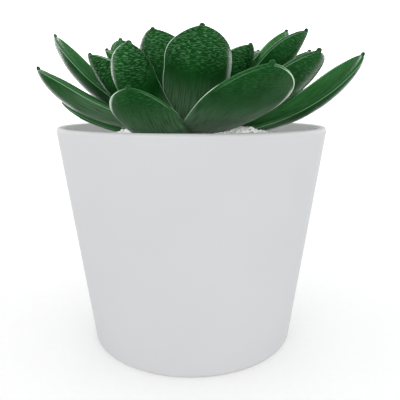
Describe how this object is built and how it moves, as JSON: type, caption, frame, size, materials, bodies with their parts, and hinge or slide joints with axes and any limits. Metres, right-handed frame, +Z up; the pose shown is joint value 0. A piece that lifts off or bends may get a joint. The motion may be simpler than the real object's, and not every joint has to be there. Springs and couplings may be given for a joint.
{
  "type": "potted rosette succulent",
  "caption": "Rosette of thick cupped green leaves on a short stem, in a plain tapered white pot filled with potting mix and dressed with white gravel.",
  "frame": {"origin": "centre of the pot's flat underside, where it rests", "axes": "+Z up along the pot's axis; -Y faces the side that the picture shows; +X to the right in the picture"},
  "size_m": [0.1623, 0.1642, 0.1694],
  "materials": {
    "pot": "satin white glaze",
    "soil": "crumbly dark brown potting mix",
    "gravel": "matt white grit",
    "stem": "matt green skin",
    "leaf": "waxy dark green with pale rounded margins"
  },
  "bodies": {
    "root": {"pot": "pot", "soil": "soil", "gravel": "gravel", "stem": "stem", "core_leaf_1": "leaf", "core_leaf_2": "leaf", "core_leaf_3": "leaf", "core_leaf_4": "leaf", "core_leaf_5": "leaf", "heart_leaf_1": "leaf", "heart_leaf_2": "leaf", "heart_leaf_3": "leaf", "heart_leaf_4": "leaf", "heart_leaf_5": "leaf", "heart_leaf_6": "leaf", "inner_leaf_1": "leaf", "inner_leaf_2": "leaf", "inner_leaf_3": "leaf", "inner_leaf_4": "leaf", "inner_leaf_5": "leaf", "inner_leaf_6": "leaf", "inner_leaf_7": "leaf", "middle_leaf_1": "leaf", "middle_leaf_2": "leaf", "middle_leaf_3": "leaf", "middle_leaf_4": "leaf", "middle_leaf_5": "leaf", "middle_leaf_6": "leaf", "middle_leaf_7": "leaf", "outer_leaf_1": "leaf", "outer_leaf_2": "leaf", "outer_leaf_3": "leaf", "outer_leaf_4": "leaf", "outer_leaf_5": "leaf", "outer_leaf_6": "leaf", "outer_leaf_7": "leaf", "outer_leaf_8": "leaf"}
  },
  "joints": []
}
